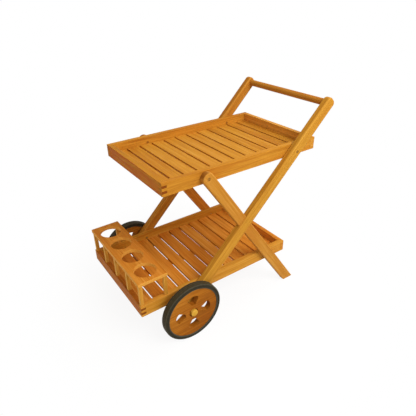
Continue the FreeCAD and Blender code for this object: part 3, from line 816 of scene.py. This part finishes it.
# The slats' screws stand in three rows: left cleat, batten and right cleat
screwBits = []
for tray, seed in (("upper", 5), ("lower", 6)):
    first, second = [sum(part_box("%s_slat_%02d" % (tray, k)), Vector()) / 2 for k in (1, 2)]
    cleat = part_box(tray + "_left_cleat")
    row = (cleat[0].y + cleat[1].y) / 2
    screwBits.append(growMesh(fastenerField, tray + "SlatScrews", {
        "Columns": slatStyle["count"], "Rows": 3, "Start": (first.x, row, cleat[0].z),
        "Column Step": (second.x - first.x, 0, 0), "Row Step": (0, -row, 0), "Axis": (0, 0, 1),
        "Seed": seed, "Finish": zincSteel}, aimed(slottedFastener(slatScrewStyle), -alongZ)))
work = bmesh.new()
for bit in screwBits:
    work.from_mesh(bit)
mesh = meshFrom(work, "slatScrewField")
addPiece("slatScrews", mesh, zincSteel, "frame", ["slat_screws"])

for name, node, style, way, finish, slot, seed in (
        ("legBolts", "leg_bolts", legBoltStyle, -alongY, dullBrass, "brass", 11),
        ("legNuts", "leg_nuts", legNutStyle, alongY, dullBrass, "brass", 12),
        ("legScrews", "leg_screws", legScrewStyle, alongY, zincSteel, "steel", 13)):
    front, back = leftPair(node)
    tops = []
    for low, high in (front, back):
        middle = (low + high) / 2
        tops.append(Vector((middle.x, high.y if way.y > 0 else low.y, middle.z)))
    mesh = growMesh(fastenerField, name + "Field", {
        "Columns": 2, "Rows": 1, "Start": tops[0], "Column Step": tops[1] - tops[0],
        "Row Step": (0, 0, 0), "Axis": (0, 1, 0), "Seed": seed, "Finish": finish},
        aimed(slottedFastener(style), way))
    withMirror(mesh)
    addPiece(name, mesh, finish, "frame", [node])
print("fasteners set")

# Hidden metal and plastic at the hubs keeps its CAD mesh
for node, finish in (("axle", zincSteel), ("axle_washers", zincSteel), ("left_wheel_bush", nylon),
                     ("right_wheel_bush", nylon)):
    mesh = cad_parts[node].data
    mesh.materials.clear()
    mesh.materials.append(finish)
print("hub fittings finished")


# Pale floor, white surroundings, a strong soft light high on the left-hand side, a weaker one high
# behind and a faint one low in front
studio = {"floorSize": 14.0, "floorColour": "#DCDCDA", "shownColour": "#FFFFFF",
          "ambientColour": "#FFF1E0", "worldStrength": 0.42,
          "shadowShare": 0.10, "shadowReach": (0.40, 0.85), "aim": (0, 0, 0.4),
          "side": {"place": (0.45, -2.3, 2.65), "size": 1.8, "power": 85},
          "back": {"place": (1.7, -0.3, 2.4), "size": 1.6, "power": 20},
          "front": {"place": (-2.4, -0.2, 0.8), "size": 1.6, "power": 8}}


def seenDirectly(tree):
    # 1 for rays that show the surroundings themselves, 0 for rays that only carry light
    path = addNode(tree, "ShaderNodeLightPath").outputs
    shown = addNode(tree, "ShaderNodeMath", {0: path["Is Camera Ray"], 1: path["Is Glossy Ray"]},
                    operation="MAXIMUM").outputs[0]
    return addNode(tree, "ShaderNodeMath", {0: shown, 1: path["Is Transmission Ray"]},
                   operation="MAXIMUM").outputs[0]


world = bpy.data.worlds.new("whiteStudio")
world.use_nodes = True
world.node_tree.nodes.clear()
tree = world.node_tree
ambient = addNode(tree, "ShaderNodeBackground", {
    "Color": toLinear(studio["ambientColour"]), "Strength": studio["worldStrength"]}).outputs[0]
white = addNode(tree, "ShaderNodeBackground", {"Color": (1, 1, 1, 1), "Strength": 1.0}).outputs[0]
sky = addNode(tree, "ShaderNodeMixShader", {0: seenDirectly(tree), 1: ambient, 2: white}).outputs[0]
addNode(tree, "ShaderNodeOutputWorld", {"Surface": sky})
bpy.context.scene.world = world

half = studio["floorSize"] / 2
floorMesh = bpy.data.meshes.new("studioFloor")
corners = [(-half, -half, 0), (half, -half, 0), (half, half, 0), (-half, half, 0)]
floorMesh.from_pydata(corners, [], [(0, 1, 2, 3)])
floor = bpy.data.objects.new("studioFloor", floorMesh)
bpy.context.scene.collection.objects.link(floor)
material, tree = newMaterial("palePaintedFloor")
matt = addNode(tree, "ShaderNodeBsdfDiffuse", {"Color": toLinear(studio["floorColour"])}).outputs[0]
shadowed = addNode(tree, "ShaderNodeBsdfDiffuse", {"Color": toLinear(studio["shownColour"])}).outputs[0]
white = addNode(tree, "ShaderNodeEmission", {"Color": (1, 1, 1, 1), "Strength": 1.0}).outputs[0]
place = addNode(tree, "ShaderNodeTexCoord").outputs["Object"]
away = addNode(tree, "ShaderNodeVectorMath", {0: place}, operation="LENGTH").outputs["Value"]
share = addNode(tree, "ShaderNodeMapRange", {            # the shadow fades out around the trolley
    "Value": away, "From Min": studio["shadowReach"][0], "From Max": studio["shadowReach"][1],
    "To Min": studio["shadowShare"], "To Max": 0.0}).outputs[0]
shown = addNode(tree, "ShaderNodeMixShader", {0: share, 1: white, 2: shadowed}).outputs[0]
surface = addNode(tree, "ShaderNodeMixShader", {0: seenDirectly(tree), 1: matt, 2: shown}).outputs[0]
finishMaterial(tree, surface)
floorMesh.materials.append(material)

aim = Vector(studio["aim"])
for name in ("side", "back", "front"):
    s = studio[name]
    lamp = bpy.data.lights.new(name + "Light", "AREA")
    lamp.size = s["size"]
    lamp.energy = s["power"]
    light = bpy.data.objects.new(name + "Light", lamp)
    light.location = s["place"]
    light.rotation_euler = (aim - Vector(s["place"])).to_track_quat("-Z", "Y").to_euler()
    bpy.context.scene.collection.objects.link(light)

# The camera stands where the photographer stood
view = {"place": (-0.86631, -1.2611, 1.26314), "turn": (59.9244, 0.8317, -35.2274),
        "lens": 34.136, "sensor": 36, "nearest": 0.01}
lens = bpy.data.cameras.new("photoView")
lens.lens = view["lens"]
lens.sensor_width = view["sensor"]
lens.clip_start = view["nearest"]
camera = bpy.data.objects.new("photoView", lens)
camera.location = view["place"]
camera.rotation_euler = Euler([math.radians(a) for a in view["turn"]], "XYZ")
bpy.context.scene.collection.objects.link(camera)
bpy.context.scene.camera = camera
bpy.context.scene.view_settings.view_transform = "Standard"
print("studio ready")
